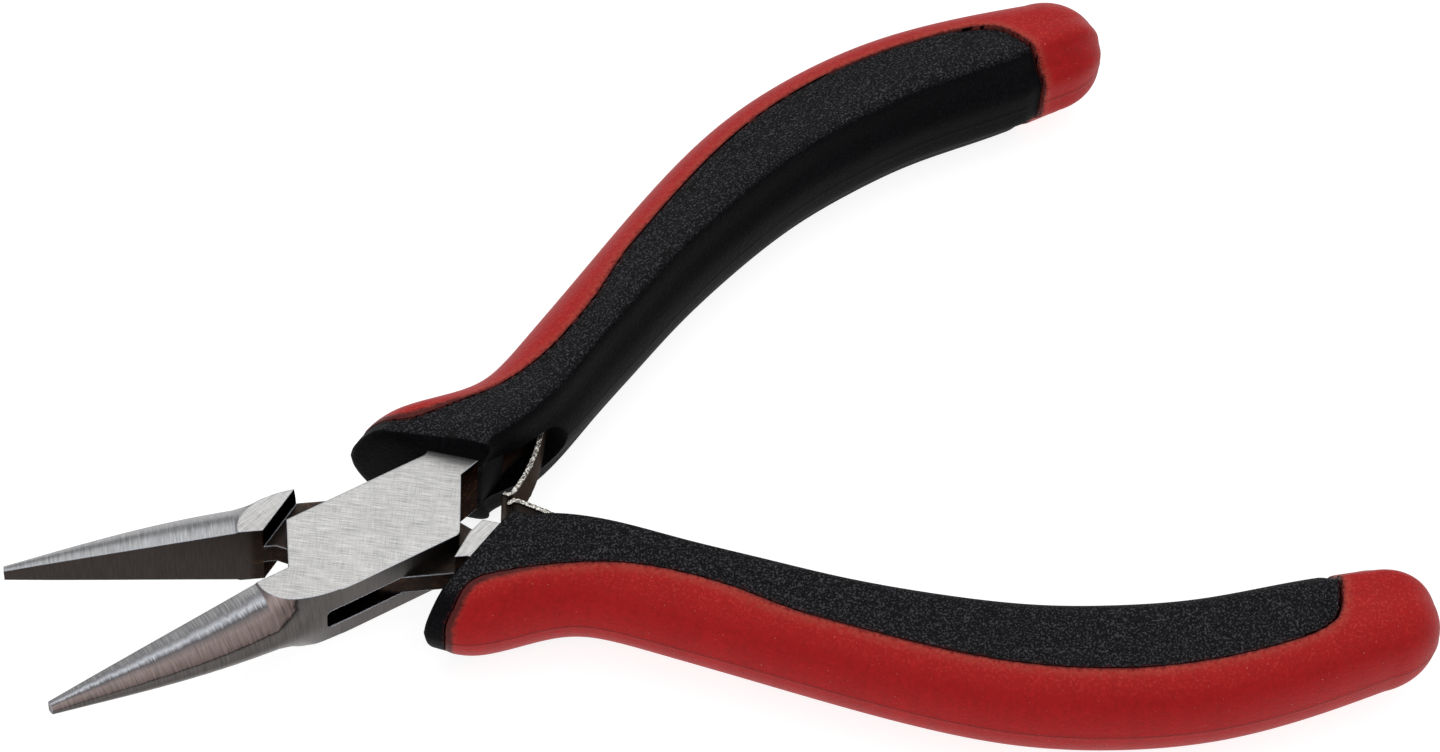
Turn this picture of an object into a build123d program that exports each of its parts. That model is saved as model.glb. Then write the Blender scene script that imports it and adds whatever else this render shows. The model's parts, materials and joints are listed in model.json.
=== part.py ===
"""Chain nose pliers with a box joint, a pair of leaf springs and two-colour moulded grips.

Each half is drawn closed, in its own plane at the joint's middle height: x runs along the pliers
from the pivot towards the handles, and the half's jaw is on -y and its handle on +y. The two
planes then turn the halves apart by the opening angle. The tongue half's plane is also turned
over, so both halves are drawn with the same functions.
"""

import os
from math import atan2, cos, hypot, radians, sin

from build123d import *

os.makedirs("parts", exist_ok=True)

# ---- driving dimensions, in millimetres and degrees ----
opening = 25.04  # angle between the halves at rest, held open by the leaf springs
joint_height = 7.8  # over both cheeks of the box half
joint_half_width = 5.05
slot_height = 2.5  # the slot through the box half
slot_mouth = -3.5  # from here out to the side of the jaw, the slot's front corners are rounded
slot_mouth_front, slot_corner_radius = -9.55, 0.6
tongue_height = 2.4
jaw_gap = 0.05  # from each jaw's inner face to the closing line
lower_bevel = 0.7

rivet_radius = 2.5
rivet_head_radius = 3.1
rivet_head_depth = 0.6
tongue_bore_radius = 2.55

leaf_height = 4.8
leaf_thickness = 0.6
leaf_curl_radius = 0.65
leaf_curl_angle = 110
leaf_tip_gap = 0.15  # from each curled tip to the line between the handles, at rest
spring_rivet_radius = 0.9
spring_rivet_head_radius = 1.5
spring_rivet_head_height = 0.6

grip_half_height = 6.0
red_side_depth = 3.7  # how far the red side stands out from the colour boundary
pocket_half_height = 2.9
# A grip's section at its nose and at its end: how far the ridge is in from the inner edge, the
# ridge's height and the inner edge's roundness, then how far the outer shoulder is in from the
# outer edge and the height where the red begins. Heights are shares of the section's own.
section_at_nose = (0.95, 1.09, 0.50, 1.50, 0.92)
section_at_end = (3.00, 1.02, 0.15, 0.95, 0.945)
# How a grip rounds over at its two ends: distance past the first or last rib, and size there.
nose_rounding = [(0.5, 0.87), (0.3, 0.95)]
end_rounding = [(1.9, 0.92), (3.1, 0.77), (3.9, 0.55), (4.2, 0.35)]

# Jaw sections: x, width out from the inner face, half height. Then the flare into the flat joint,
# whose last sections are higher than the joint and are cut to its height.
jaw_taper = [
    (-37.0, 1.05, 0.70),
    (-33.0, 1.95, 1.30),
    (-29.0, 2.85, 1.85),
    (-22.5, 4.10, 2.70),
    (-14.6, 5.00, 3.75),
]
jaw_flare = [jaw_taper[-1], (-12.9, 5.03, 4.95), (-10.4, joint_half_width, 8.1), (-8.0, joint_half_width, 14.0)]
jaw_root = [jaw_flare[-1], (-6.0, joint_half_width, 60.0)]
jaw_crease_out, jaw_crease_up = 0.80, 0.58  # the ground edge along the jaw, as shares

# Grip sections: inner edge x, y and outer edge x, y, then the half height as a share.
grip_ribs = [
    (12.9, 1.2, 2.7, 11.4, 0.95),
    (14.2, 1.2, 7.4, 12.9, 0.96),
    (17.0, 1.1, 14.5, 11.8, 0.98),
    (22.5, 2.4, 19.5, 12.2, 0.97),
    (29.1, 5.2, 24.9, 14.5, 0.98),
    (36.1, 8.1, 32.0, 17.8, 1.00),
    (44.1, 11.3, 39.8, 21.5, 1.01),
    (53.0, 14.1, 49.0, 25.6, 1.01),
    (61.4, 16.0, 58.6, 28.8, 1.01),
    (69.3, 16.7, 68.7, 30.3, 1.00),
    (77.4, 16.6, 78.6, 30.1, 1.00),
    (86.2, 15.5, 87.8, 28.3, 1.01),
    (93.9, 14.8, 95.5, 26.1, 1.00),
    (96.6, 15.0, 97.7, 24.9, 0.94),
]

# The line between black and red on the top and bottom of a grip, from the nose to the end.
boundary_nose = [(5.2, 20.0), (4.7, 12.6), (4.8, 10.6)]
boundary_run = [
    (5.8, 9.2), (9.7, 8.3), (16.5, 8.0), (24.3, 9.7), (33.0, 13.8), (42.7, 18.4), (53.4, 22.9),
    (64.0, 25.6), (74.7, 26.1), (84.0, 24.8), (88.0, 23.6),
]
boundary_end = [(90.1, 22.0), (91.2, 18.0), (91.0, 12.0)]

# The steel behind the joint: a root as high as the joint, then a thinner straight stem that the
# spring sits on, then a tang that follows the grip.
root_outline = [(7.4, 5.05), (12.0, 7.3), (15.5, 7.4), (15.5, 2.95), (12.6, 2.0)]
stem_outline = [(12.6, 2.0), (20.5, 4.6), (29.5, 8.3), (28.4, 11.1), (19.4, 7.4), (12.6, 7.0)]
tang_inner = [(29.5, 8.3), (41.5, 13.2), (54.0, 17.4), (65.0, 19.7), (75.5, 20.1), (84.0, 19.7)]
tang_outer = [(28.4, 11.1), (40.3, 16.0), (53.2, 20.4), (64.7, 22.7), (75.5, 23.1), (84.0, 22.6)]
stem_half_height = 2.4

beyond = 120  # past every grip, for cuts

# ---- values that follow ----
mid_height = joint_height / 2
half_opening = opening / 2
box_plane = Plane(
    (0, 0, mid_height), x_dir=(cos(radians(half_opening)), sin(radians(half_opening)), 0), z_dir=(0, 0, 1)
)
tongue_plane = Plane(
    (0, 0, mid_height), x_dir=(cos(radians(half_opening)), -sin(radians(half_opening)), 0), z_dir=(0, 0, -1)
)

# The spring's tab lies on the stem's inner face, which runs straight through these two points.
tab_start = stem_outline[1]
tab_heading = atan2(stem_outline[2][1] - tab_start[1], stem_outline[2][0] - tab_start[0])
tab_near, tab_far = 1.4, 7.2  # where the tab begins and ends along that face
spring_rivet_along = 4.6
spring_rivet_depth = 1.8  # into the stem

# The curled spring tips stand clear of the line halfway between the handles.
curl_centre_x = 12.9
curl_clear = leaf_curl_radius + leaf_thickness / 2 + leaf_tip_gap
curl_centre_y = (curl_clear - curl_centre_x * sin(radians(half_opening))) / cos(radians(half_opening))
leaf_tip_heading = 210


def across(plane, x):
    """A plane across a half at x, whose own x is the half's y and whose own y is up."""
    return Plane(plane.from_local_coords((x, 0, 0)), x_dir=plane.y_dir, z_dir=plane.x_dir)


def on_stem(plane):
    """A plane on the stem's inner face: its x runs along the stem and its z points out of it."""
    along = plane.x_dir * cos(tab_heading) + plane.y_dir * sin(tab_heading)
    out = plane.x_dir * sin(tab_heading) - plane.y_dir * cos(tab_heading)
    return Plane(plane.from_local_coords((*tab_start, 0)), x_dir=along, z_dir=out)


def prism(plane, points, half_height, mode=Mode.ADD):
    """A straight-sided outline, as high above the middle as below it."""
    with BuildSketch(plane) as profile:
        with BuildLine():
            Polyline(*points, close=True)
        make_face()
    extrude(profile.sketch, amount=half_height, both=True, mode=mode)


def jaw_section(plane, x, width, half_height):
    """A half-round section with the two creases that grinding leaves along a jaw."""
    out, up = jaw_crease_out * width, jaw_crease_up * half_height
    bulge_out, bulge_up = 0.5 * width, 0.885 * half_height
    with BuildSketch(across(plane, x)) as section:
        with BuildLine():
            upper = ThreePointArc((-jaw_gap, half_height), (-bulge_out, bulge_up), (-out, up))
            side = ThreePointArc(upper @ 1, (-width, 0), (-out, -up))
            lower = ThreePointArc(side @ 1, (-bulge_out, -bulge_up), (-jaw_gap, -half_height))
            Line(lower @ 1, upper @ 0)
        make_face()
    return section.sketch


def jaw(plane):
    """The half-round jaw, which flares into the flat joint and is cut to its height."""
    loft([jaw_section(plane, *station) for station in jaw_taper])
    loft([jaw_section(plane, *station) for station in jaw_flare])
    loft([jaw_section(plane, *station) for station in jaw_root], ruled=True)
    prism(plane, [(-40, -joint_half_width), (0, -joint_half_width), (0, 0), (-40, 0)], mid_height, Mode.INTERSECT)


def handle_steel(plane):
    """The root, stem and tang, with the blind hole for the spring's rivet."""
    prism(plane, root_outline, mid_height)
    prism(plane, stem_outline, stem_half_height)
    with BuildSketch(plane) as strip:
        with BuildLine():
            inner = Spline(*tang_inner)
            outer = Spline(*tang_outer)
            Line(inner @ 0, outer @ 0)
            Line(inner @ 1, outer @ 1)
        make_face()
    extrude(strip.sketch, amount=stem_half_height, both=True)
    with BuildSketch(on_stem(plane)) as hole:
        with Locations((spring_rivet_along, 0)):
            Circle(spring_rivet_radius)
    extrude(hole.sketch, amount=-spring_rivet_depth, mode=Mode.SUBTRACT)


def bevel(plane, side):
    """Takes the lower long edge off one side of the joint, the side at y = side."""
    inward = -1 if side > 0 else 1
    low = -mid_height
    with BuildSketch(across(plane, -16)) as corner:
        with BuildLine():
            Polyline(
                (side - inward, low - 1),
                (side + inward * (lower_bevel + 1), low - 1),
                (side - inward, low + lower_bevel + 1),
                close=True,
            )
        make_face()
    extrude(corner.sketch, amount=23, mode=Mode.SUBTRACT)


def leaf_spring(plane, name):
    """A flat strip: a tab on the stem, a bend, the free leaf and a curled tip."""
    heading = radians(leaf_tip_heading)
    flat = plane.to_local_coords(on_stem(plane).origin)
    out = (sin(tab_heading) * leaf_thickness / 2, -cos(tab_heading) * leaf_thickness / 2)
    near = (flat.X + tab_near * cos(tab_heading) + out[0], flat.Y + tab_near * sin(tab_heading) + out[1])
    far = (flat.X + tab_far * cos(tab_heading) + out[0], flat.Y + tab_far * sin(tab_heading) + out[1])
    curl_start = (curl_centre_x + leaf_curl_radius * -sin(heading), curl_centre_y + leaf_curl_radius * cos(heading))
    with BuildPart() as leaf:
        with BuildSketch(plane):
            with BuildLine():
                Line(far, near)
                Spline(
                    near,
                    (19.3, 2.5),
                    (16.3, -0.35),
                    curl_start,
                    tangents=[(-cos(tab_heading), -sin(tab_heading)), (cos(heading), sin(heading))],
                )
                CenterArc(
                    (curl_centre_x, curl_centre_y),
                    leaf_curl_radius,
                    leaf_tip_heading + 90,
                    -leaf_curl_angle,
                )
            trace(line_width=leaf_thickness)
        extrude(amount=leaf_height / 2, both=True)
        with BuildSketch(on_stem(plane)):
            with Locations((spring_rivet_along, 0)):
                Circle(spring_rivet_radius)
        extrude(amount=leaf_thickness * 2, mode=Mode.SUBTRACT)
    leaf.part.label = name
    return leaf.part


def spring_rivet(plane, name):
    """The round-headed rivet that holds the spring's tab on the stem."""
    face = on_stem(plane)
    with BuildPart() as rivet:
        with BuildSketch(face.offset(-spring_rivet_depth)):
            with Locations((spring_rivet_along, 0)):
                Circle(spring_rivet_radius)
        extrude(amount=spring_rivet_depth + leaf_thickness)
        with BuildSketch(face.offset(leaf_thickness)):
            with Locations((spring_rivet_along, 0)):
                Circle(spring_rivet_head_radius)
        extrude(amount=spring_rivet_head_height)
        fillet(rivet.faces().sort_by(Axis(face.origin, face.z_dir))[-1].edges(), 0.35)
    rivet.part.label = name
    return rivet.part


def rib_section(plane, index, past=0, size=1):
    """One cross-section of a grip, or a smaller copy of it past an end."""
    rib = grip_ribs[index]
    onward = index / (len(grip_ribs) - 1)
    shape = [near + (far - near) * onward for near, far in zip(section_at_nose, section_at_end)]
    ridge_inset, ridge_height, inner_round, shoulder_inset, shoulder_height = shape
    ridge_inset = section_at_nose[0] + (section_at_end[0] - section_at_nose[0]) * onward**0.5
    x_in, y_in, x_out, y_out, share = rib
    width = hypot(x_out - x_in, y_out - y_in)
    out_x, out_y = (x_out - x_in) / width, (y_out - y_in) / width
    middle = Plane(
        plane.from_local_coords(((x_in + x_out) / 2, (y_in + y_out) / 2, 0)),
        x_dir=plane.x_dir * out_x + plane.y_dir * out_y,
        z_dir=plane.x_dir * out_y - plane.y_dir * out_x,
    )
    half, top = width / 2, share * grip_half_height
    upper = [
        (half - shoulder_inset, 0.62 * top),
        (half - red_side_depth, shoulder_height * top),
        (-0.2, top),
        (ridge_inset - half, ridge_height * top),
        (ridge_inset / 2 - half, 0.69 * top),
        (inner_round - half, 0.40 * top),
    ]
    lower = [(x, -y) for x, y in reversed(upper)]
    with BuildSketch(middle.offset(past)) as section:
        with BuildLine():
            Spline(*[(x * size, y * size) for x, y in [(half, 0), *upper, (-half, 0), *lower]], periodic=True)
        make_face()
    return section.sketch


def grip_body(plane):
    """The whole grip, both colours together, lofted through its ribs and rounded at both ends."""
    last = len(grip_ribs) - 1
    nose = [rib_section(plane, 0, -past, size) for past, size in nose_rounding]
    run = [rib_section(plane, index) for index in range(last + 1)]
    end = [rib_section(plane, last, past, size) for past, size in end_rounding]
    loft([*nose, *run, *end])


def red_region(plane, mode):
    """The outer side and the end of a grip, as a tall block beyond the colour boundary."""
    with BuildSketch(plane) as region:
        with BuildLine():
            start = Spline(*boundary_nose)
            run = Spline(*boundary_run)
            end = Spline(*boundary_end)
            Line(start @ 1, run @ 0)
            Line(run @ 1, end @ 0)
            Polyline(end @ 1, (beyond, (end @ 1).Y), (beyond, beyond), ((start @ 0).X, beyond), start @ 0)
        make_face()
    extrude(region.sketch, amount=2 * grip_half_height, both=True, mode=mode)


def red_side(plane, name):
    """The red outer side and end cap."""
    with BuildPart() as grip:
        grip_body(plane)
        red_region(plane, Mode.INTERSECT)
    grip.part.label = name
    return grip.part


def black_pad(plane, steel, leaf, rivet, name):
    """The black inner side and nose, moulded round the steel, with a pocket for the spring."""
    face = on_stem(plane)
    with BuildPart() as pad:
        grip_body(plane)
        red_region(plane, Mode.SUBTRACT)
        with BuildSketch(face):
            with Locations((-6.0, 0)):
                SlotOverall(16.0, 2 * pocket_half_height)
        extrude(amount=8, mode=Mode.SUBTRACT)
        add(steel, mode=Mode.SUBTRACT)
        add(leaf, mode=Mode.SUBTRACT)
        add(rivet, mode=Mode.SUBTRACT)
    pad.part.label = name
    return pad.part


def save(part):
    """Writes a finished piece as a STEP file named after its label."""
    export_step(part, f"parts/{part.label}.step")


# ---- pivot ----
with BuildPart() as pivot_rivet:
    with BuildSketch(Plane.XZ):
        with BuildLine():
            Polyline(
                (0, 0),
                (rivet_head_radius, 0),
                (rivet_radius, rivet_head_depth),
                (rivet_radius, joint_height - rivet_head_depth),
                (rivet_head_radius, joint_height),
                (0, joint_height),
                close=True,
            )
        make_face()
    revolve(axis=Axis.Z)
pivot_rivet.part.label = "pivot_rivet"

# ---- steel halves ----
with BuildPart() as box_half:
    jaw(box_plane)
    prism(
        box_plane,
        [
            (-10.9, -jaw_gap), (-8.2, joint_half_width), (7.4, joint_half_width), (12.6, 2.0), (9.2, 1.15),
            (7.3, -1.9), (5.3, -joint_half_width), (-6.0, -joint_half_width), (-8.0, -4.7),
        ],
        mid_height,
    )
    handle_steel(box_plane)
    rear_corner = box_plane.from_local_coords((5.3, -joint_half_width, 0))
    fillet(box_half.edges().filter_by(Axis.Z).sort_by_distance(rear_corner)[0], 0.8)
    prism(
        box_plane,
        [
            (-9.98, slot_mouth), (-10.95, -jaw_gap), (-10.95, 7), (7.2, 7), (9.2, 1.15), (9.2, slot_mouth),
        ],
        slot_height / 2,
        Mode.SUBTRACT,
    )
    mouth_start = box_plane.from_local_coords((slot_mouth_front, slot_mouth, 0))
    with BuildSketch(Plane(mouth_start, x_dir=box_plane.x_dir, z_dir=-box_plane.y_dir)):
        with Locations((10, 0)):
            RectangleRounded(20, slot_height, slot_corner_radius)
    extrude(amount=5, mode=Mode.SUBTRACT)
    bevel(box_plane, -joint_half_width)
    bevel(box_plane, joint_half_width)
    add(pivot_rivet.part, mode=Mode.SUBTRACT)
box_half.part.label = "box_half"

with BuildPart() as tongue_half:
    jaw(tongue_plane)
    prism(
        tongue_plane,
        [
            (-10.7, -jaw_gap), (-1.0, joint_half_width), (7.4, joint_half_width), (12.6, 2.0), (9.35, 0.86),
            (8.9, 0.3), (3.0, -joint_half_width), (-8.2, -joint_half_width),
        ],
        mid_height,
    )
    handle_steel(tongue_plane)
    for low in (tongue_height / 2, -joint_height):
        with BuildSketch(tongue_plane.offset(low)):
            with BuildLine():
                Polyline(
                    (-12.0, 0), (-6.17, -8), (9.35, -8), (9.35, 0.86), (7.98, 2.13), (5.85, 5.5), (4.27, 8), (-12.0, 8),
                    close=True,
                )
            make_face()
        extrude(amount=joint_height - tongue_height / 2, mode=Mode.SUBTRACT)
    with BuildSketch(Plane.XY):
        Circle(tongue_bore_radius)
    extrude(amount=joint_height, mode=Mode.SUBTRACT)
tongue_half.part.label = "tongue_half"

for finished in (pivot_rivet, box_half, tongue_half):
    save(finished.part)

# ---- springs and grips, one set for each half ----
for half, plane, steel in (("box", box_plane, box_half.part), ("tongue", tongue_plane, tongue_half.part)):
    leaf = leaf_spring(plane, f"{half}_side_leaf_spring")
    rivet = spring_rivet(plane, f"{half}_side_spring_rivet")
    save(leaf)
    save(rivet)
    save(red_side(plane, f"{half}_side_red_grip"))
    save(black_pad(plane, steel, leaf, rivet, f"{half}_side_black_pad"))
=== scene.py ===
"""Looks for the chain nose pliers: moulded two-colour grips, ground steel halves and leaf springs.

Shapes are drawn in millimetres in each half's own frame, with the pliers closed: x runs from the
pivot along the handle, the half's jaw is on -y and its handle on +y, and z = 0 is the middle of
the joint. half_matrix() places that frame on the open pliers.
"""

import json
from math import cos, hypot, pi, radians, sin

import bmesh
import bpy
import numpy as np
from mathutils import Matrix, Vector, noise


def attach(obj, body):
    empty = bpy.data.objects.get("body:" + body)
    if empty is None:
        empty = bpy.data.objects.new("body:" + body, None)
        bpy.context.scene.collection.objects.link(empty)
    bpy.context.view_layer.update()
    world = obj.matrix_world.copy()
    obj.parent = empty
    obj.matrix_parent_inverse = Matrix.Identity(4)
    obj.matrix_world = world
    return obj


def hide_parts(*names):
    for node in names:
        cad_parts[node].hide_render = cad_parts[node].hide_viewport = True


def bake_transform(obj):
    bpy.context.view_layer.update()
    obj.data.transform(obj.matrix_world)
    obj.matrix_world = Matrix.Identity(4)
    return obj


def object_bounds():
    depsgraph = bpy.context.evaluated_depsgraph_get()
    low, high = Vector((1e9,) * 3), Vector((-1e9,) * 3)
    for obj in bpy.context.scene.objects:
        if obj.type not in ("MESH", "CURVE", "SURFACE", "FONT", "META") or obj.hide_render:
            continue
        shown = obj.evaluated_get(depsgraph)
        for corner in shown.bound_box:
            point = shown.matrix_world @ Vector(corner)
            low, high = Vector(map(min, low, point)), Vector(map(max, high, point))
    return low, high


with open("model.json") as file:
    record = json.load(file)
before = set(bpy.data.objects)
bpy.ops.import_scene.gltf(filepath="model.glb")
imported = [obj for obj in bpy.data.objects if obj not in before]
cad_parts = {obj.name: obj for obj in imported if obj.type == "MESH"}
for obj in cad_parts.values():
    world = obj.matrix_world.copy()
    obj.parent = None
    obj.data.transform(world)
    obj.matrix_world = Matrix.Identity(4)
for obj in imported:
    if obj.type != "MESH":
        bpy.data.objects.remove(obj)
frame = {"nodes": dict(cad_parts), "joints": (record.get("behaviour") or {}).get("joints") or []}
cad_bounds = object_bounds()

MM = 0.001
pivot = next(joint for joint in frame["joints"] if joint["name"] == "pivot")
half_opening = radians(pivot["range_deg"][1]) / 2
mid_height = pivot["pos_m"][2]
floor_height = cad_bounds[0][2]

# ---- the camera, found from the two halves being equal ----
camera_azimuth, camera_elevation, camera_roll = radians(-25.18), radians(50.53), radians(5.41)
camera_distance = 0.4291
camera_target = Vector((0.0388, 0.0097, mid_height))
camera_lens, sensor_width = 105.48, 36.0

# ---- grips, in millimetres ----
grip_half_height = 6.0
red_side_depth = 3.7
# the section at the nose and at the end: ridge inset and height, inner roundness, then the outer
# shoulder's inset and the height where the red begins
section_at_nose = (0.95, 1.09, 0.50, 1.50, 0.92)
section_at_end = (3.00, 1.02, 0.15, 0.95, 0.945)
# inner edge x, y and outer edge x, y, then the half height as a share
grip_ribs = [
    (12.9, 1.2, 2.7, 11.4, 0.95),
    (14.2, 1.2, 7.4, 12.9, 0.96),
    (17.0, 1.1, 14.5, 11.8, 0.98),
    (22.5, 2.4, 19.5, 12.2, 0.97),
    (29.1, 5.2, 24.9, 14.5, 0.98),
    (36.1, 8.1, 32.0, 17.8, 1.00),
    (44.1, 11.3, 39.8, 21.5, 1.01),
    (53.0, 14.1, 49.0, 25.6, 1.01),
    (61.4, 16.0, 58.6, 28.8, 1.01),
    (69.3, 16.7, 68.7, 30.3, 1.00),
    (77.4, 16.6, 78.6, 30.1, 1.00),
    (86.2, 15.5, 87.8, 28.3, 1.01),
    (93.9, 14.8, 95.5, 26.1, 1.00),
]
# how a grip rounds over past its first rib: distance, then width and height there as shares
nose_rounding = [
    (0.60, 0.88, 0.55),
    (0.57, 0.92, 0.72),
    (0.48, 0.95, 0.84),
    (0.32, 0.975, 0.93),
    (0.15, 0.99, 0.975),
]
# how it rounds over past its last rib, as a superellipse: depth, fullness, and its rings in degrees
end_depth, end_fullness = 6.75, 2.1
end_rings = np.linspace(4, 87, 22)
grip_steps, grip_steps_quick = (330, 176), (120, 72)  # along and around

# the line between black and red on the top and bottom of a grip
boundary_points = [
    (4.6, 22.0), (4.5, 16.0), (4.5, 11.4), (4.9, 9.9), (6.4, 8.8), (9.7, 8.3), (16.5, 8.0), (24.3, 9.7),
    (33.0, 13.8), (42.7, 18.4), (53.4, 22.9), (64.0, 25.6), (74.7, 26.1), (84.0, 24.8), (88.0, 23.6),
    (90.1, 22.0), (91.0, 19.0), (91.2, 16.0), (91.0, 12.0),
]
# that line's small and smaller waves: height, waves per millimetre and seed
line_waves = [(0.05, 1.1, 0), (0.03, 3.5, 5)]
past_the_grip = (130.0, 60.0)  # further along and out than any part of a grip
above_the_grip = 12.0

# the black drops beside the red over the rim, more beside the end cap, and again in the last bit
black_dip, cap_dip, black_rim = 0.10, 0.40, 2.2
last_dip, last_rim = 0.06, 0.30
red_dip, red_rim = 0.08, 0.35
cap_from_x = (84, 88)  # where the end cap's looks set in along a grip
# a fine groove in the black beside the red: depth, distance from the red, width, where it sets in
groove_depth, groove_place, groove_width, groove_from_x = 0.05, 1.7, 0.16, (50, 58)
mould_seam_height, mould_seam_width = 0.05, 0.16
# the red's front corners are pulled back above and below the middle, near the nose
corner_pull, corner_heights, corner_from_y = 1.5, (1.5, 5.6), (12, 17)

# painted reflections on the rounded jaws: light and dark colour bands by how far the surface faces up, from
# the flank at 0 to straight up at 1, one set for each half
jaw_painted_reflections = {
    "box": [
        (0.00, (0.075, 0.067, 0.064)),
        (0.46, (0.110, 0.100, 0.097)),
        (0.50, (0.038, 0.032, 0.032)),
        (0.55, (0.270, 0.205, 0.190)),
        (0.80, (0.330, 0.265, 0.250)),
        (0.895, (0.110, 0.104, 0.110)),
        (0.945, (0.460, 0.475, 0.510)),
        (0.975, (0.180, 0.178, 0.185)),
        (1.00, (0.240, 0.238, 0.242)),
    ],
    "tongue": [
        (0.00, (0.085, 0.078, 0.075)),
        (0.56, (0.070, 0.066, 0.066)),
        (0.72, (0.200, 0.198, 0.200)),
        (0.88, (0.330, 0.332, 0.345)),
        (1.00, (0.430, 0.436, 0.450)),
    ],
}
# where along x the walls' looks give way to them
jaw_start = {"box": (-9.0, -12.5), "tongue": (-12.2, -13.6)}

# ---- springs, in millimetres ----
leaf_height = 4.8
stem_face = [(20.5, 4.6), (29.5, 8.3)]  # the side of the stem that a leaf's tab is riveted to
pocket_half_height, pocket_length, pocket_middle, pocket_steps = 2.9, 15.0, -6.5, 48
pocket_depths = (-0.4, 8.0)  # from just inside that side to outside the grip
leaf_voxel, leaf_voxel_quick = 0.10, 0.16
torn_depth, torn_bias, torn_from = 0.07, 0.05, (0.25, 0.05)  # the sheared edges' roughness

# ---- light ----
floor_glow, paper_white = 0.85, 0.35
floor_reach = 2000  # in millimetres
room_levels = (0.22, 0.65)  # at the horizon and above
# name, azimuth, elevation, distance in metres, size in metres, brightness
soft_lights = [
    ("back_softbox", 155, 52, 0.9, 0.75, 0.95),
    ("top_softbox", 20, 80, 0.9, 0.8, 0.65),
    ("front_fill", -60, 30, 1.0, 0.5, 0.8),
]


def half_matrix(side):
    """From a half's own frame, in metres, to the open pliers."""
    turn = Matrix.Rotation(half_opening if side == "box" else -half_opening, 4, "Z")
    turn_over = Matrix.Identity(4) if side == "box" else Matrix.Rotation(pi, 4, "X")
    return Matrix.Translation((0, 0, mid_height)) @ turn @ turn_over


def direction_from(azimuth, elevation):
    """The direction from the object towards a place at these angles, in radians."""
    return Vector((sin(azimuth) * cos(elevation), -cos(azimuth) * cos(elevation), sin(elevation)))


def smooth_rows(rows, samples):
    """A natural cubic spline through rows of numbers, sampled at the given places along them."""
    rows = np.asarray(rows, float)
    count = len(rows)
    system = np.eye(count) * 4
    system += np.eye(count, k=1) + np.eye(count, k=-1)
    system[0, :2] = system[-1, -2:][::-1] = (1, 0)
    right = np.zeros_like(rows)
    right[1:-1] = 6 * (rows[2:] - 2 * rows[1:-1] + rows[:-2])
    bend = np.linalg.solve(system, right)
    return spline_values(rows, bend, samples)


def spline_values(rows, bend, samples):
    """Values of a cubic spline from its points and second derivatives at whole steps."""
    low = np.clip(np.floor(samples).astype(int), 0, len(rows) - 2)
    share = (samples - low)[:, None]
    rest = 1 - share
    cubic = (rest**3 - rest) * bend[low] + (share**3 - share) * bend[low + 1]
    return rest * rows[low] + share * rows[low + 1] + cubic / 6


def closed_weights(count, samples):
    """Weights that give points of a closed cubic spline through count points, at each sample."""
    eye = np.eye(count)
    second = 6 * (np.roll(eye, 1, 0) - 2 * eye + np.roll(eye, -1, 0))
    system = 4 * eye + np.roll(eye, 1, 0) + np.roll(eye, -1, 0)
    bend = np.linalg.solve(system, second)
    wrap = [*range(count), 0]
    return spline_values(eye[wrap], bend[wrap], samples)


def rib_outline(half, top, onward):
    """The points that a grip's cross-section passes through, from its outer edge round over the top."""
    shares = (onward**0.5, onward, onward, onward, onward)  # the ridge moves in fastest at the nose
    shape = [near + (far - near) * share for near, far, share in zip(section_at_nose, section_at_end, shares)]
    ridge_inset, ridge_height, inner_round, shoulder_inset, shoulder_height = shape
    upper = [
        (half - shoulder_inset, 0.62 * top),
        (half - red_side_depth, shoulder_height * top),
        (-0.2, top),
        (ridge_inset - half, ridge_height * top),
        (ridge_inset / 2 - half, 0.69 * top),
        (inner_round - half, 0.40 * top),
    ]
    return [(half, 0), *upper, (-half, 0), *[(x, -y) for x, y in reversed(upper)]]


def new_object(name, mesh):
    obj = bpy.data.objects.new(name, mesh)
    bpy.context.scene.collection.objects.link(obj)
    return obj


def mesh_from(name, vertices, faces):
    """A mesh from millimetre points."""
    mesh = bpy.data.meshes.new(name)
    mesh.from_pydata([tuple(MM * value for value in vertex) for vertex in vertices], [], faces)
    mesh.validate()
    return mesh


def grip_sections(along):
    """A grip's cross-sections: rib, distance past it, width and height shares, and how far along it is."""
    ribs = smooth_rows(grip_ribs, np.linspace(0, len(grip_ribs) - 1, along))
    first = [(ribs[0], -past, (width, height), 0) for past, width, height in nose_rounding]
    middle = [(rib, 0, (1, 1), index / (along - 1)) for index, rib in enumerate(ribs)]
    last = []
    for angle in np.radians(end_rings):
        past, size = sin(angle) ** (2 / end_fullness), cos(angle) ** (2 / end_fullness)
        last.append((ribs[-1], end_depth * past, (size, size), 1))
    return first + middle + last


def grip_mesh():
    """The whole grip as one dense closed mesh, both colours together."""
    along, around = grip_steps
    outline_count = len(rib_outline(1, 1, 0))
    weights = closed_weights(outline_count, np.linspace(0, outline_count, around, endpoint=False))
    vertices = []
    for (x_in, y_in, x_out, y_out, share), past, size, onward_share in grip_sections(along):
        half = hypot(x_out - x_in, y_out - y_in) / 2
        out = np.array([(x_out - x_in), (y_out - y_in)]) / half / 2
        onward = np.array([out[1], -out[0]])
        centre = np.array([x_in + x_out, y_in + y_out]) / 2 + onward * past
        outline = np.array(rib_outline(half, share * grip_half_height, onward_share))
        for u, v in np.array(size) * (weights @ outline):
            vertices.append((*(centre + out * u), v))
    rings = len(vertices) // around
    faces = []
    for ring in range(rings - 1):
        for step in range(around):
            after = (step + 1) % around
            low, high = ring * around, (ring + 1) * around
            faces.append((low + step, high + step, high + after, low + after))
    faces.append(tuple(range(around)))
    faces.append(tuple(reversed(range((rings - 1) * around, rings * around))))
    return mesh_from("grip", vertices, faces)


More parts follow.
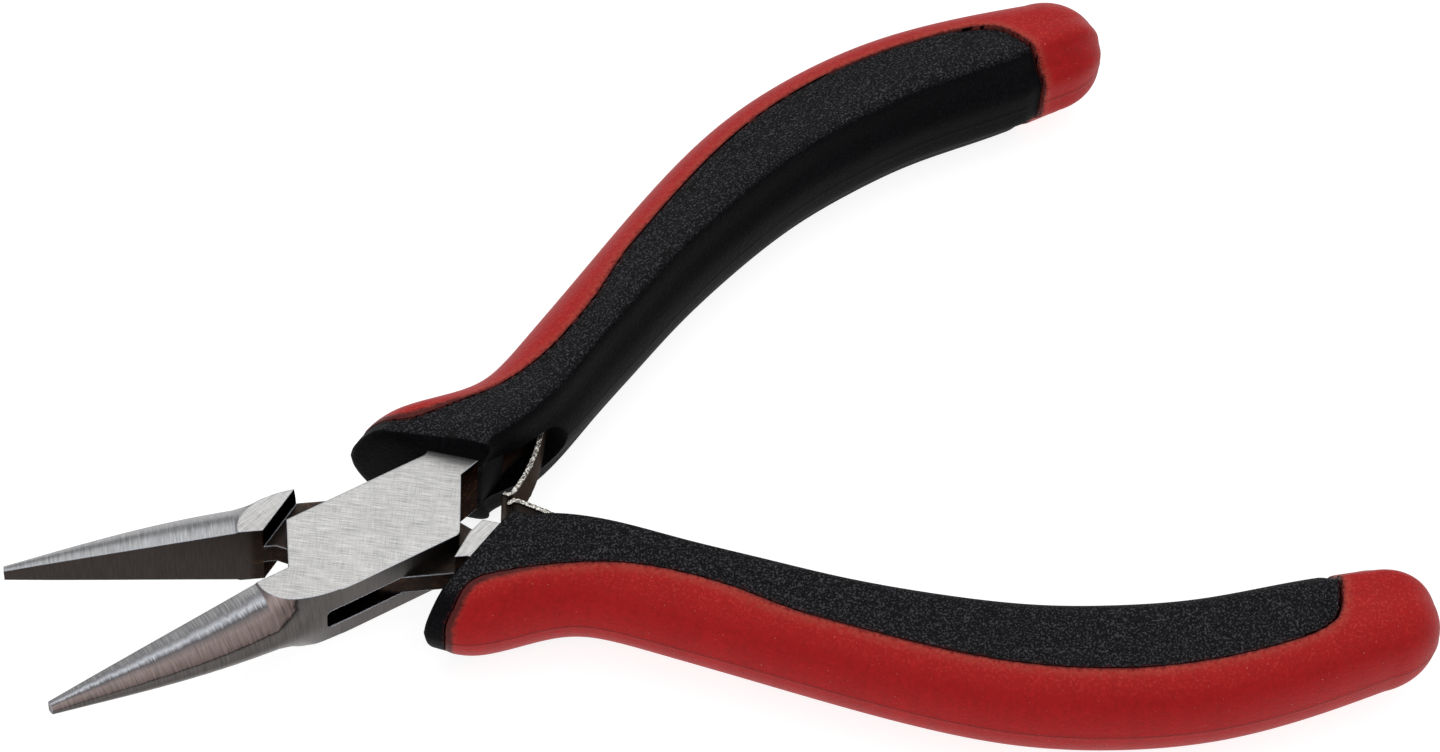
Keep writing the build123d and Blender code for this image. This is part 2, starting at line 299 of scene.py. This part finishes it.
def boundary_curve(steps=400):
    """Points along the line between the colours, slightly uneven as moulding leaves it."""
    line = smooth_rows(boundary_points, np.linspace(0, len(boundary_points) - 1, steps))
    heading = np.gradient(line, axis=0)
    heading /= np.linalg.norm(heading, axis=1)[:, None]
    for index, (x, y) in enumerate(line.copy()):
        left = np.array([-heading[index][1], heading[index][0]])
        for height, per_mm, seed in line_waves:
            line[index] += height * noise.noise(Vector((x * per_mm, y * per_mm, seed))) * left
    return line


def evaluated_mesh(obj):
    """The object's mesh with its modifiers, as a new mesh, and the object gone."""
    result = bpy.data.meshes.new_from_object(obj.evaluated_get(bpy.context.evaluated_depsgraph_get()))
    bpy.data.objects.remove(obj)
    return result


def set_material(mesh, material):
    mesh.materials.clear()
    mesh.materials.append(material)


def prism_mesh(name, low, high):
    """A closed prism between two outlines of as many points, its faces turned outwards."""
    count = len(low)
    faces = [tuple(reversed(range(count))), tuple(range(count, 2 * count))]
    faces += [(i, (i + 1) % count, (i + 1) % count + count, i + count) for i in range(count)]
    mesh = mesh_from(name, [*low, *high], faces)
    correct_normals(mesh)
    return mesh


def boolean(mesh, cutter_mesh, operation):
    """The mesh cut by another, as a new mesh."""
    obj, cutter = new_object("work", mesh.copy()), new_object("cutter", cutter_mesh)
    modifier = obj.modifiers.new("cut", "BOOLEAN")
    modifier.operation, modifier.object, modifier.solver = operation, cutter, "EXACT"
    result = evaluated_mesh(obj)
    bpy.data.objects.remove(cutter)
    return result


def correct_normals(mesh):
    work = bmesh.new()
    work.from_mesh(mesh)
    bmesh.ops.recalc_face_normals(work, faces=work.faces)
    work.to_mesh(mesh)
    work.free()


def camera_view():
    """The camera, placed and turned as the numbers at the top say."""
    camera = bpy.data.objects.new("camera", bpy.data.cameras.new("camera"))
    bpy.context.scene.collection.objects.link(camera)
    bpy.context.scene.camera = camera
    camera.data.lens, camera.data.sensor_width = camera_lens, sensor_width
    camera.data.clip_start, camera.data.clip_end = 0.01, 10
    back = direction_from(camera_azimuth, camera_elevation)
    level_right = (-back).cross(Vector((0, 0, 1))).normalized()
    level_up = level_right.cross(-back)
    right = cos(camera_roll) * level_right + sin(camera_roll) * level_up
    up = -sin(camera_roll) * level_right + cos(camera_roll) * level_up
    turn = Matrix((right, up, back)).transposed().to_4x4()
    camera.matrix_world = Matrix.Translation(camera_target + camera_distance * back) @ turn


# ---- materials ----


class Paint:
    """A new material, with short ways to add its nodes."""

    def __init__(self, name, side):
        self.material = bpy.data.materials.new(name)
        self.material.use_nodes = True
        self.tree = self.material.node_tree
        self.shader = self.tree.nodes["Principled BSDF"]
        turn = (0 if side == "box" else pi, 0, -half_opening)
        lift = -mid_height / MM if side == "box" else mid_height / MM
        coordinates = self.node("ShaderNodeTexCoord").outputs
        placed = self.node("ShaderNodeMapping", {"Vector": coordinates["Object"], "Rotation": turn})
        placed.inputs["Scale"].default_value = (1 / MM,) * 3
        placed.inputs["Location"].default_value = (0, 0, lift)
        faced = self.node("ShaderNodeMapping", {"Vector": coordinates["Normal"], "Rotation": turn})
        faced.vector_type = "VECTOR"
        self.place, self.facing = placed.outputs[0], faced.outputs[0]
        heading = (cos(half_opening), sin(half_opening) * (1 if side == "box" else -1), 0)
        self.along_half = self.node("ShaderNodeVectorTransform", {0: heading}).outputs[0]

    def node(self, kind, inputs=None, **settings):
        made = self.tree.nodes.new(kind)
        for key, value in settings.items():
            setattr(made, key, value)
        for key, value in (inputs or {}).items():
            self.put(made.inputs[key], value)
        return made

    def put(self, socket, value):
        if isinstance(value, bpy.types.NodeSocket):
            self.tree.links.new(value, socket)
        else:
            socket.default_value = value

    def math(self, operation, *values):
        return self.node("ShaderNodeMath", dict(enumerate(values)), operation=operation).outputs[0]

    def times(self, first, *others):
        for other in others:
            first = self.math("MULTIPLY", first, other)
        return first

    def vary(self, texture, amount, middle=1.0):
        """A number that a texture moves up and down around its middle."""
        return self.math("MULTIPLY_ADD", self.math("SUBTRACT", texture, 0.5), amount, middle)

    def mix_numbers(self, share, first, second):
        return self.math("ADD", self.math("MULTIPLY", first, 1 - share), self.math("MULTIPLY", second, share))

    def span(self, value, low, high, to_low=0.0, to_high=1.0):
        """value eased from to_low at low to to_high at high."""
        inputs = {"Value": value, "From Min": low, "From Max": high, "To Min": to_low, "To Max": to_high}
        return self.node("ShaderNodeMapRange", inputs, interpolation_type="SMOOTHSTEP").outputs[0]

    def mix(self, share, first, second):
        made = self.node("ShaderNodeMix", data_type="RGBA")
        self.put(made.inputs[0], share)
        self.put(made.inputs[6], first)
        self.put(made.inputs[7], second)
        return made.outputs[2]

    def bands(self, value, stops):
        """A colour for each value, from stops of place and colour."""
        made = self.node("ShaderNodeValToRGB", {0: value})
        elements = made.color_ramp.elements
        while len(elements) < len(stops):
            elements.new(0.5)
        for element, (place, colour) in zip(elements, stops):
            element.position, element.color = place, (*colour, 1)
        return made.outputs[0]

    def grey(self, value):
        """A number as a colour."""
        return self.node("ShaderNodeCombineColor", {0: value, 1: value, 2: value}).outputs[0]

    def shade(self, colour, value):
        """A colour multiplied by a number."""
        made = self.node("ShaderNodeMix", data_type="RGBA", blend_type="MULTIPLY")
        self.put(made.inputs[0], 1.0)
        self.put(made.inputs[6], colour)
        self.put(made.inputs[7], self.grey(value))
        return made.outputs[2]

    def stretched(self, vector, scale, turn=0.0):
        """The vector turned about z, in degrees, and then scaled on each axis."""
        turned = self.node("ShaderNodeMapping", {"Vector": vector, "Rotation": (0, 0, radians(turn))})
        scaled = self.node("ShaderNodeVectorMath", {0: turned.outputs[0], 1: scale}, operation="MULTIPLY")
        return scaled.outputs[0]

    def noise(self, vector, scale=1.0, detail=2.0, rough=0.5):
        inputs = {"Vector": vector, "Scale": scale, "Detail": detail, "Roughness": rough}
        return self.node("ShaderNodeTexNoise", inputs).outputs[0]

    def split(self, vector):
        return list(self.node("ShaderNodeSeparateXYZ", {0: vector}).outputs)

    def attribute(self, name):
        return self.node("ShaderNodeAttribute", attribute_name=name).outputs["Fac"]

    def bump(self, height, depth_mm, normal=None):
        """A bump whose full height is depth_mm."""
        inputs = {"Height": height, "Distance": depth_mm * MM, "Strength": 1.0}
        if normal is not None:
            inputs["Normal"] = normal
        return self.node("ShaderNodeBump", inputs).outputs[0]

    def finish(self, **inputs):
        """Sets the shader's inputs, whose names have _ for a space."""
        for key, value in inputs.items():
            self.put(self.shader.inputs[key.replace("_", " ")], value)
        return self.material


def ground_steel(side):
    """Flat faces with crossed grinding marks, round jaws ground across with painted reflection bands, darker
    walls with painted shade where the halves hide each other, and painted highlights along the edges.
    """
    paint = Paint(f"{side}_ground_steel", side)
    normal_y, normal_z = paint.split(paint.facing)[1:]
    x, y, z = paint.split(paint.place)
    upness, height = paint.math("ABSOLUTE", normal_z), paint.math("ABSOLUTE", z)
    flat = paint.times(paint.span(upness, 0.985, 0.998), paint.span(height, 3.3, 3.7))

    across = paint.noise(paint.stretched(paint.place, (6.0, 0.35, 0.35)), 1.0, 5, 0.62)
    fine_across = paint.noise(paint.stretched(paint.place, (15.0, 0.9, 0.9)), 1.0, 3, 0.6)
    one_way = paint.noise(paint.stretched(paint.place, (0.45, 13.0, 0.3), 40), 1.0, 3, 0.55)
    other_way = paint.noise(paint.stretched(paint.place, (0.60, 16.0, 0.3), -52), 1.0, 3, 0.55)
    cloud = paint.noise(paint.place, 0.35, 3, 0.5)
    hatch = paint.mix_numbers(0.35, one_way, other_way)
    ground = paint.mix_numbers(0.35, across, fine_across)

    # rounded jaws: painted reflections, light on top, then a dark band, a warm one and a fine line down to
    # the flank, varied by the grinding marks
    jaw = paint.span(x, *jaw_start[side])
    waver = paint.vary(across, 0.07, upness)
    jaw_reflection_colour = paint.shade(paint.bands(waver, jaw_painted_reflections[side]), paint.vary(ground, 2.3))

    # walls: grey outside, dark and a little brown inside, with painted shade and rust where the halves hide
    # each other
    inner = paint.span(normal_y, 0.3, 0.9)
    wall = paint.mix(inner, (0.088, 0.081, 0.077, 1), (0.064, 0.056, 0.052, 1))
    wall = paint.shade(wall, paint.vary(ground, 1.3))
    in_joint = paint.times(paint.span(x, -13.6, -12.6), paint.span(y, -6.4, -5.4), paint.span(x, 14.0, 12.0))
    if side == "box":
        in_joint = paint.times(in_joint, paint.span(normal_y, -0.75, -0.45))
    behind_joint = paint.times(paint.span(x, 4.0, 6.5), paint.span(normal_y, 0.9, 0.6))
    not_flat = paint.math("SUBTRACT", 1.0, flat)
    hidden_painted_shade = paint.times(paint.math("MAXIMUM", in_joint, behind_joint), not_flat)
    rust = paint.times(hidden_painted_shade, paint.span(paint.noise(paint.place, 1.3, 4, 0.6), 0.5, 0.66))
    # painted shade: the walls darker where the halves hide each other
    wall = paint.mix(hidden_painted_shade, wall, (0.036, 0.029, 0.026, 1))
    wall = paint.mix(rust, wall, (0.066, 0.044, 0.032, 1))

    is_round = paint.times(jaw, paint.math("SUBTRACT", 1.0, inner))
    colour = paint.mix(is_round, wall, jaw_reflection_colour)
    flat_level = paint.vary(cloud, 0.10, paint.vary(hatch, 1.15, 0.43))
    colour = paint.mix(flat, colour, paint.shade((1.0, 0.99, 0.98, 1), flat_level))

    # rounded edges, but not round the rivet, which is ground flush
    sharp = paint.node("ShaderNodeNewGeometry").outputs["Normal"]
    rounded = paint.node("ShaderNodeBevel", {"Radius": 0.19 * MM}, samples=4).outputs[0]
    beside_pivot = paint.math("ADD", paint.math("POWER", x, 2.0), paint.math("POWER", y, 2.0))
    near_rivet = paint.times(flat, paint.math("LESS_THAN", beside_pivot, 12.0))
    rounded = paint.mix(near_rivet, rounded, sharp)
    agreement = paint.node("ShaderNodeVectorMath", {0: rounded, 1: sharp}, operation="DOT_PRODUCT")
    agreement = agreement.outputs["Value"]
    rounded_up = paint.math("ABSOLUTE", paint.split(rounded)[2])
    # painted highlight: a bluish-white line along the rounded edges of the upward faces
    edge = paint.times(paint.span(agreement, 0.995, 0.90), paint.span(rounded_up, 0.3, 0.55))
    colour = paint.mix(paint.times(edge, 0.85), colour, (0.80, 0.85, 0.95, 1))

    marks = paint.mix(flat, paint.grey(ground), paint.grey(hatch))
    rough = paint.math("MULTIPLY_ADD", marks, 0.16, 0.30)
    rough = paint.math("MAXIMUM", rough, paint.times(inner, 0.52))
    return paint.finish(
        Base_Color=colour,
        Metallic=1.0,
        Specular_Tint=paint.mix(paint.math("MAXIMUM", hidden_painted_shade, inner), (1, 1, 1, 1), (0.12, 0.10, 0.09, 1)),
        Roughness=rough,
        Anisotropic=paint.span(flat, 0.0, 1.0, 0.55, 0.15),
        Tangent=paint.along_half,
        Normal=paint.bump(marks, 0.010, rounded),
    )


def spring_steel(side):
    """Dark rolled faces and bright edges torn by the shears."""
    paint = Paint(f"{side}_spring_steel", side)
    normal_z = paint.split(paint.facing)[2]
    cut = paint.span(paint.math("ABSOLUTE", normal_z), 0.45, 0.8)
    grains = paint.noise(paint.place, 4.2, 3, 0.7)
    coarse = paint.noise(paint.place, 1.1, 3, 0.6)
    rolled = paint.mix(coarse, (0.045, 0.038, 0.034, 1), (0.095, 0.083, 0.075, 1))
    torn = paint.mix(paint.span(grains, 0.42, 0.60), (0.10, 0.085, 0.07, 1), (0.95, 0.93, 0.86, 1))
    heights = paint.times(grains, paint.math("MULTIPLY_ADD", cut, 0.9, 0.1))
    return paint.finish(
        Base_Color=paint.mix(cut, rolled, torn),
        Metallic=1.0,
        Specular_Tint=paint.mix(cut, (0.30, 0.28, 0.26, 1), (1, 1, 1, 1)),
        Roughness=paint.span(cut, 0.0, 1.0, 0.42, 0.34),
        Normal=paint.bump(heights, 0.10),
    )


def red_plastic(side):
    """Satin red with an orange-peel surface, drawn marks, a stained edge beside the black, and painted sheen
    and glints on its upward faces.
    """
    paint = Paint(f"{side}_red_plastic", side)
    normal_z = paint.split(paint.facing)[2]
    x, _, z = paint.split(paint.place)
    from_edge, along = paint.attribute("from_edge"), paint.attribute("along_edge")
    peel = paint.noise(paint.place, 1.9, 4, 0.66)
    cloud = paint.noise(paint.place, 0.16, 3, 0.5)
    mottle = paint.noise(paint.place, 2.1, 5, 0.72)
    pores = paint.noise(paint.place, 3.6, 2, 0.5)
    drawn_place = paint.node("ShaderNodeCombineXYZ", {0: along, 1: paint.times(from_edge, 0.22)}).outputs[0]
    drawn = paint.noise(drawn_place, 1.6, 5, 0.68)
    specks = paint.span(paint.noise(paint.place, 4.6, 2, 0.5), 0.735, 0.79)

    colour = paint.mix(cloud, (0.325, 0.0052, 0.0062, 1), (0.405, 0.0078, 0.0085, 1))
    colour = paint.shade(colour, paint.vary(drawn, 0.42))
    colour = paint.shade(colour, paint.vary(peel, 0.6))
    # painted sheen: upward faces a lighter red, with painted glints in the pores there
    painted_top_sheen = paint.span(paint.math("ABSOLUTE", normal_z), 0.55, 0.97)
    colour = paint.mix(paint.times(painted_top_sheen, 0.25), colour, (0.52, 0.022, 0.020, 1))
    glint = paint.times(painted_top_sheen, paint.span(pores, 0.52, 0.66), 0.30)
    colour = paint.mix(glint, colour, (0.70, 0.070, 0.050, 1))
    ragged = paint.vary(mottle, 1.1, from_edge)
    rim = paint.times(paint.span(ragged, 1.4, 0.3), paint.span(mottle, 0.34, 0.58))
    colour = paint.mix(paint.times(rim, 0.50), colour, (0.40, 0.085, 0.055, 1))
    near_nose = paint.span(x, 18.0, 7.0, 0.0, 0.55)
    stain = paint.span(paint.math("SUBTRACT", ragged, near_nose), 0.50, -0.10)
    colour = paint.mix(paint.times(stain, 0.85), colour, (0.030, 0.008, 0.008, 1))
    seam = paint.span(paint.math("ABSOLUTE", z), 0.20, 0.06)
    colour = paint.mix(paint.times(seam, 0.55), colour, (0.12, 0.004, 0.004, 1))
    colour = paint.mix(paint.times(specks, 0.7), colour, (0.80, 0.36, 0.30, 1))

    heights = paint.mix_numbers(0.4, paint.mix_numbers(0.65, drawn, peel), pores)
    return paint.finish(
        Base_Color=colour,
        Roughness=paint.math("MULTIPLY_ADD", peel, 0.16, 0.42),
        Specular_IOR_Level=0.13,
        Normal=paint.bump(heights, 0.14),
    )


def black_rubber(side):
    """Soft matt black with a fine grain, grey specks kept mostly to upward faces as painted sheen, and scuffs
    that run along the grip.
    """
    paint = Paint(f"{side}_black_rubber", side)
    normal_z = paint.split(paint.facing)[2]
    from_edge, along = paint.attribute("from_edge"), paint.attribute("along_edge")
    grain = paint.noise(paint.place, 5.0, 2, 0.5)
    pits = paint.noise(paint.place, 2.2, 3, 0.6)
    cloud = paint.noise(paint.place, 0.22, 3, 0.5)
    scuff_place = paint.node("ShaderNodeCombineXYZ", {0: paint.times(along, 0.10), 1: from_edge}).outputs[0]
    scuffs = paint.noise(scuff_place, 4.6, 4, 0.6)
    topness = paint.span(paint.math("ABSOLUTE", normal_z), 0.62, 0.96)
    colour = paint.mix(cloud, (0.0008, 0.0008, 0.0012, 1), (0.0022, 0.0022, 0.0032, 1))
    # painted sheen: the grey specks are real grain but kept mostly to upward faces, so the tops read lighter
    # than the sides
    specks = paint.times(paint.span(grain, 0.50, 0.65), paint.span(pits, 0.34, 0.60, 0.50, 1.0))
    specks = paint.times(specks, paint.math("MULTIPLY_ADD", topness, 0.92, 0.08))
    colour = paint.mix(paint.times(specks, 0.80), colour, (0.074, 0.074, 0.085, 1))
    worn = paint.times(paint.span(scuffs, 0.58, 0.70), topness)
    colour = paint.mix(paint.times(worn, 0.40), colour, (0.060, 0.060, 0.064, 1))
    bleed = paint.span(paint.vary(pits, 1.2, from_edge), -0.30, 0.05)
    colour = paint.mix(paint.times(bleed, 0.35), colour, (0.110, 0.012, 0.012, 1))
    heights = paint.math("ADD", paint.times(grain, 0.5), paint.times(pits, 0.4))
    heights = paint.math("ADD", heights, paint.times(scuffs, 0.3))
    return paint.finish(
        Base_Color=colour,
        Roughness=paint.math("MULTIPLY_ADD", grain, 0.20, 0.52),
        Specular_IOR_Level=paint.span(topness, 0.0, 1.0, 0.05, 0.11),
        Normal=paint.bump(heights, 0.18),
    )


# ---- grips and springs ----


def edge_distances(vertices, line):
    """Each point's distance past the colour line, negative on the black, and its place along it."""
    batch = 4000  # points at a time, to spare memory
    starts, steps = line[:-1], np.diff(line, axis=0)
    lengths = np.linalg.norm(steps, axis=1)
    run = np.concatenate([[0], np.cumsum(lengths)])
    signed, along = np.empty(len(vertices)), np.empty(len(vertices))
    for first in range(0, len(vertices), batch):
        points = vertices[first : first + batch, None, :2] - starts[None]
        share = np.clip((points * steps).sum(2) / lengths**2, 0, 1)
        away = points - share[..., None] * steps
        gap = np.linalg.norm(away, axis=2)
        nearest = gap.argmin(1)
        rows = np.arange(len(nearest))
        turn = steps[nearest, 0] * away[rows, nearest, 1] - steps[nearest, 1] * away[rows, nearest, 0]
        signed[first : first + batch] = np.where(turn > 0, 1, -1) * gap[rows, nearest]
        along[first : first + batch] = run[nearest] + share[rows, nearest] * lengths[nearest]
    return signed, along


def eased(values, low, high):
    """0 at low and 1 at high, with no corner at either."""
    share = np.clip((values - low) / (high - low), 0, 1)
    return share * share * (3 - 2 * share)


def read_vertices(mesh, what):
    flat = np.empty(len(mesh.vertices) * 3, np.float32)
    mesh.vertices.foreach_get(what, flat)
    return flat.reshape(-1, 3)


def normals_of(mesh):
    return read_vertices(mesh, "normal")


def points_of(mesh):
    """The mesh's points in millimetres."""
    return read_vertices(mesh, "co").astype(float) / MM


def set_points(mesh, points):
    mesh.vertices.foreach_set("co", (points * MM).astype(np.float32).ravel())
    mesh.update()


def pull_corner(mesh, share):
    """Moves points near the nose along x, most above and below, so that a straight cut ends up curved."""
    points = points_of(mesh)
    amount = eased(np.abs(points[:, 2]), *corner_heights) * (1 - eased(points[:, 1], *corner_from_y))
    points[:, 0] += share * corner_pull * amount
    set_points(mesh, points)


def ridge(away, width):
    """1 on a line and less away from it, as a bell curve."""
    return np.exp(-((away / width) ** 2))


def dress_edge(mesh, line, colour):
    """Rounds the piece over beside the colour line, raises its mould seam and keeps the distances."""
    signed, along = edge_distances(points_of(mesh), line)
    pull_corner(mesh, 1)
    points, normals = points_of(mesh), normals_of(mesh)
    near_cap = eased(points[:, 0], *cap_from_x)
    if colour == "red":
        lift = -red_dip * (1 - eased(signed, 0.0, red_rim))
    else:
        dip = black_dip + (cap_dip - black_dip) * near_cap
        grooved = eased(points[:, 0], *groove_from_x) * (1 - near_cap)
        lift = -dip * (1 - eased(-signed, 0.0, black_rim)) - last_dip * (1 - eased(-signed, 0.0, last_rim))
        lift -= groove_depth * grooved * ridge(signed + groove_place, groove_width)
    seam = mould_seam_height * ridge(points[:, 2], mould_seam_width)
    set_points(mesh, points + normals * (lift + seam)[:, None])
    for name, values in (("from_edge", signed), ("along_edge", along)):
        layer = mesh.attributes.new(name, "FLOAT", "POINT")
        layer.data.foreach_set("value", values.astype(np.float32))


def spring_pocket():
    """The slot in a grip's inner side that its leaf spring comes out of."""
    start, end = Vector(stem_face[0]), Vector(stem_face[1])
    along = (end - start).normalized()
    out = Vector((along.y, -along.x))
    outline = []
    straight = pocket_length / 2 - pocket_half_height
    for step in range(pocket_steps):
        angle = 2 * pi * step / pocket_steps
        middle = straight if cos(angle) >= 0 else -straight
        outline.append((middle + pocket_half_height * cos(angle), pocket_half_height * sin(angle)))
    rings = []
    for depth in pocket_depths:
        places = [(start + along * (u + pocket_middle) + out * depth, v) for u, v in outline]
        rings.append([(place.x, place.y, v) for place, v in places])
    return prism_mesh("pocket", *rings)


def grip_pieces():
    """The two colours of a grip, cut apart along the colour line, in a half's own frame."""
    whole = grip_mesh()
    correct_normals(whole)
    whole = boolean(whole, spring_pocket(), "DIFFERENCE")
    pull_corner(whole, -1)
    line = boundary_curve()
    past_x, past_y = past_the_grip
    outline = [*map(tuple, line), (past_x, line[-1][1]), past_the_grip, (line[0][0], past_y)]
    low, high = ([(x, y, z) for x, y in outline] for z in (-above_the_grip, above_the_grip))
    region = prism_mesh("red_region", low, high)
    red = boolean(whole, region.copy(), "INTERSECT")
    black = boolean(whole, region, "DIFFERENCE")
    for mesh, colour in ((red, "red"), (black, "black")):
        dress_edge(mesh, line, colour)
    return red, black


def place_piece(name, mesh, side, material):
    """A grip piece on its half, with its mesh in the shared frame."""
    mesh = mesh.copy()
    mesh.name = name
    mesh.transform(half_matrix(side))
    set_material(mesh, material)
    mesh.shade_smooth()
    piece = new_object(name, mesh)
    return piece


def leaf_piece(side, material):
    """The leaf spring, with its sheared edges torn into fine grains."""
    node = frame["nodes"][f"{side}_side_leaf_spring"]
    mesh = node.data.copy()
    mesh.transform(node.matrix_world)
    obj = new_object(f"{side}_side_leaf", mesh)
    remesh = obj.modifiers.new("even", "REMESH")
    remesh.mode, remesh.voxel_size = "VOXEL", leaf_voxel * MM
    smooth = obj.modifiers.new("smooth", "SMOOTH")
    smooth.factor, smooth.iterations = 0.5, 3
    even = evaluated_mesh(obj)
    points, normals = points_of(even), normals_of(even)
    heights = np.abs(points[:, 2] - mid_height / MM)
    cut = eased(heights, *(leaf_height / 2 - below for below in torn_from))
    torn = np.array([noise.noise(Vector(at) * 3.2) + 0.6 * noise.noise(Vector(at) * 7) for at in points])
    set_points(even, points + normals * (cut * (torn_depth * torn - torn_bias))[:, None])
    set_material(even, material)
    even.shade_smooth()
    piece = new_object(f"{side}_side_leaf", even)
    return piece


# ---- floor and light ----


def floor_material():
    """White paper that glows a little, so that it stays white under the tool."""
    material = bpy.data.materials.new("paper")
    material.use_nodes = True
    shader = material.node_tree.nodes["Principled BSDF"]
    shader.inputs["Base Color"].default_value = (paper_white, paper_white, paper_white, 1)
    shader.inputs["Roughness"].default_value = 0.9
    shader.inputs["Specular IOR Level"].default_value = 0.0
    shader.inputs["Emission Color"].default_value = (1, 1, 1, 1)
    shader.inputs["Emission Strength"].default_value = floor_glow
    return material


def soft_light(name, azimuth, elevation, distance, size, brightness):
    """A square softbox facing the object. brightness is what it shows the camera, with white paper as 1."""
    lamp = bpy.data.lights.new(name, "AREA")
    lamp.size = size
    lamp.energy = brightness * pi * size * size
    obj = new_object(name, lamp)
    back = direction_from(radians(azimuth), radians(elevation))
    obj.location = camera_target + back * distance
    obj.rotation_euler = back.to_track_quat("Z", "Y").to_euler()


def white_room():
    """A white world, darker at the horizon than above."""
    world = bpy.data.worlds.new("studio")
    bpy.context.scene.world = world
    world.use_nodes = True
    sky = world.node_tree
    direction = sky.nodes.new("ShaderNodeTexCoord").outputs["Generated"]
    split = sky.nodes.new("ShaderNodeSeparateXYZ")
    sky.links.new(direction, split.inputs[0])
    level = sky.nodes.new("ShaderNodeMapRange")
    sky.links.new(split.outputs[2], level.inputs["Value"])
    for key, value in zip(("From Min", "From Max", "To Min", "To Max"), (0.0, 0.6, *room_levels)):
        level.inputs[key].default_value = value
    sky.links.new(level.outputs[0], sky.nodes["Background"].inputs["Strength"])
    sky.nodes["Background"].inputs["Color"].default_value = (1, 1, 1, 1)


# ---- the making ----

camera_view()
red_mesh, black_mesh = grip_pieces()
for side in ("box", "tongue"):
    half = f"{side}_half"
    red = place_piece(f"{side}_side_red", red_mesh, side, red_plastic(side))
    black = place_piece(f"{side}_side_black", black_mesh, side, black_rubber(side))
    for piece, node in ((red, "red_grip"), (black, "black_pad")):
        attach(piece, half)
        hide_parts(f"{side}_side_{node}")
    springy = spring_steel(side)
    leaf = leaf_piece(side, springy)
    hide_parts(f"{side}_side_leaf_spring")
    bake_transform(leaf)
    steel = ground_steel(side)
    finishes = [(half, steel), (f"{side}_side_spring_rivet", springy)]
    if side == "box":
        finishes.append(("pivot_rivet", steel))
    for node, material in finishes:
        set_material(frame["nodes"][node].data, material)

floor_corners = [(x * floor_reach, y * floor_reach, 0) for x, y in ((-1, -1), (1, -1), (1, 1), (-1, 1))]
floor = new_object("floor", mesh_from("floor", floor_corners, [(0, 1, 2, 3)]))
floor.location.z = floor_height
floor.data.materials.append(floor_material())

for light in soft_lights:
    soft_light(*light)

white_room()
bpy.context.scene.view_settings.view_transform = "Standard"
